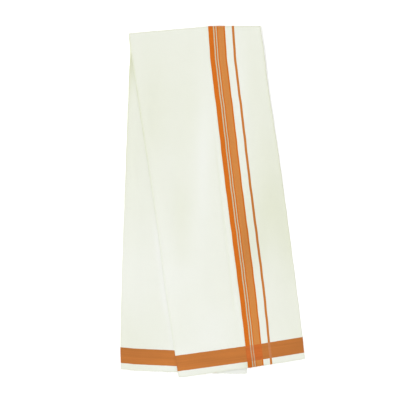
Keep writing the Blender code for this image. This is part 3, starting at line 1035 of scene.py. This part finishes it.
# Lines along the cloth in each stretch of it, and the rows of points down them
FLAP_LINES = joined(lines("flap", 44), lines("outer_fold", 10))
UNDER_LINES = joined(lines("under", 46))
PANEL_LINES = joined(
    lines("left_fold", 10), lines("panel", 60, 0.0, 0.6), lines("panel", 22, 0.6, 1.0),
    lines("inner_fold", 6),
)
INSIDE_LINES = joined(lines("inside", 40))
REAR_PANEL_LINES = joined(
    lines("under", 30, 0.0, 0.45), lines("under", 60, 0.45, 1.0), lines("left_fold", 10),
)
LOWER_PANEL_LINES = joined(lines("panel", 46), lines("inner_fold", 6))
SHOWN_ROWS = 246
HIDDEN_ROWS = 100

# Each stretch with those between it and the near selvedge, the width of cloth that it takes, what it lies
# on, and the solid that it stands for, if any
Stretch = namedtuple("Stretch", "name half lines rows before material slot flat_width rests_on stands_for")
STRETCHES = (
    Stretch(
        "border_flap", "front", FLAP_LINES, SHOWN_ROWS, (),
        border_cotton, "border_cotton", 0.165, ["front_panel_cloth"], "border_panel",
    ),
    Stretch(
        "front_under_layer", "front", UNDER_LINES, HIDDEN_ROWS, (FLAP_LINES,),
        white_cotton, "white_cotton", 0.375, ["rear_panel_cloth"], "hidden_layers",
    ),
    Stretch(
        "front_panel_cloth", "front", PANEL_LINES, SHOWN_ROWS, (FLAP_LINES, UNDER_LINES),
        white_cotton, "white_cotton", 0.375, ["front_inside_layer"], "front_panel",
    ),
    Stretch(
        "front_inside_layer", "front", INSIDE_LINES, HIDDEN_ROWS, (FLAP_LINES, UNDER_LINES, PANEL_LINES),
        border_cotton, "white_cotton", 0.360, ["front_under_layer"], None,
    ),
    Stretch(
        "rear_panel_cloth", "rear", REAR_PANEL_LINES, SHOWN_ROWS, (FLAP_LINES,),
        white_cotton, "white_cotton", 0.380, ["rear_inside_layer"], "rear_panel",
    ),
    Stretch(
        "rear_flap", "rear", FLAP_LINES, HIDDEN_ROWS, (),
        border_cotton, "border_cotton", 0.165, [], None,
    ),
    Stretch(
        "rear_lower_layer", "rear", LOWER_PANEL_LINES, HIDDEN_ROWS, (FLAP_LINES, REAR_PANEL_LINES),
        white_cotton, "white_cotton", 0.375, ["rear_flap"], None,
    ),
    Stretch(
        "rear_inside_layer", "rear", INSIDE_LINES, HIDDEN_ROWS,
        (FLAP_LINES, REAR_PANEL_LINES, LOWER_PANEL_LINES),
        border_cotton, "white_cotton", 0.360, ["rear_lower_layer"], None,
    ),
)


def add_stretch(stretch):
    """One stretch of the cloth as a piece, and its cut end's points and places."""
    points, trim, from_fold = cloth_points(stretch.lines, stretch.half, stretch.rows)
    width_before = np.zeros(len(points))
    for other in stretch.before:
        other_points = cloth_points(other, stretch.half, stretch.rows)[0]
        width_before = width_before + length_along(other_points, 1)[:, -1]
    places = cloth_places(points, trim, stretch.half, width_before)
    front = stretch.half == "front"
    # Each piece gets its painted light and shade from its half's patches and lines
    patches, painted_lines = (FRONT_PAINTED_PATCHES, FRONT_PAINTED_LINES) if front else (REAR_PAINTED_PATCHES, REAR_PAINTED_LINES)
    piece = add_shell(stretch.name, points, places, painted_shading(patches, painted_lines, points, from_fold))
    finish_piece(piece, stretch.material)
    if stretch.stands_for:
        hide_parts(stretch.stands_for)
    cut_end = 0 if front else -1
    return piece, (points[cut_end], places[cut_end])


pieces = {}
ends = {}
for stretch in STRETCHES:
    pieces[stretch.name], ends[stretch.name] = add_stretch(stretch)

front_threads = add_loose_threads("front_end_threads", [
    (*ends["border_flap"], SHOWN_THREADS),
    (*ends["front_panel_cloth"], SHOWN_THREADS),
    (*ends["front_under_layer"], HIDDEN_THREADS),
    (*ends["front_inside_layer"], HIDDEN_THREADS),
], border_cotton)
rear_threads = add_loose_threads("rear_end_threads", [
    (*ends["rear_panel_cloth"], SHOWN_THREADS),
    (*ends["rear_flap"], HIDDEN_THREADS),
    (*ends["rear_lower_layer"], HIDDEN_THREADS),
    (*ends["rear_inside_layer"], HIDDEN_THREADS),
], border_cotton)


def add_floor():
    """A pale floor that curves up far away into a low wall all round."""
    inner_radii = (0.4, 3.0)
    flat_radius = 11.0
    cove_radius = 3.0
    wall_top = 7.0
    cove_steps = 6
    sides = 72
    profile = [(radius, 0.0) for radius in inner_radii]
    for k in range(cove_steps + 1):
        turn = math.radians(90 * k / cove_steps)
        radius = flat_radius + cove_radius * math.sin(turn)
        profile.append((radius, cove_radius * (1 - math.cos(turn))))
    profile.append((flat_radius + cove_radius, wall_top))
    points = [(0.0, 0.0, 0.0)]
    for radius, height in profile:
        for k in range(sides):
            angle = 2.0 * math.pi * k / sides
            points.append((radius * math.cos(angle), radius * math.sin(angle), height))
    faces = [(0, 1 + k, 1 + (k + 1) % sides) for k in range(sides)]
    for ring in range(len(profile) - 1):
        for k in range(sides):
            first = 1 + ring * sides
            following = (k + 1) % sides
            faces.append((first + k, first + sides + k, first + sides + following, first + following))
    data = bpy.data.meshes.new("pale_floor")
    data.from_pydata(points, [], faces)
    data.shade_smooth()
    material = bpy.data.materials.new("pale_paper")
    material.use_nodes = True
    shader = material.node_tree.nodes["Principled BSDF"]
    shader.inputs["Base Color"].default_value = (0.93, 0.93, 0.93, 1.0)
    shader.inputs["Roughness"].default_value = 0.95
    shader.inputs["Specular IOR Level"].default_value = 0.1
    shader.inputs["Emission Color"].default_value = WHITE
    shader.inputs["Emission Strength"].default_value = 0.16
    data.materials.append(material)
    add_object("pale_floor", data)


def add_lights():
    """Even white light from all round, with a soft key from the left."""
    world = bpy.data.worlds.new("soft_white")
    world.use_nodes = True
    background = world.node_tree.nodes["Background"]
    background.inputs["Color"].default_value = WHITE
    background.inputs["Strength"].default_value = 0.78
    bpy.context.scene.world = world
    key = bpy.data.lights.new("key_from_left", "SUN")
    key.energy = 1.15
    key.angle = math.radians(30)
    add_object("key_from_left", key).rotation_euler = (math.radians(12), math.radians(-34), 0.0)


def add_camera():
    """Straight above the cloth, as the photo was taken."""
    view_width = 1.1856
    view_x, view_y = -0.0151, -0.0163
    view_height = 0.007  # the photo's scale holds at this height, near the cloth's top
    lens = bpy.data.cameras.new("from_above")
    lens.lens = 85.0
    lens.sensor_width = 36.0
    camera = add_object("from_above", lens)
    camera.location = (view_x, view_y, view_width * lens.lens / lens.sensor_width + view_height)
    bpy.context.scene.camera = camera


add_floor()
add_lights()
add_camera()
bpy.context.scene.view_settings.view_transform = "Standard"
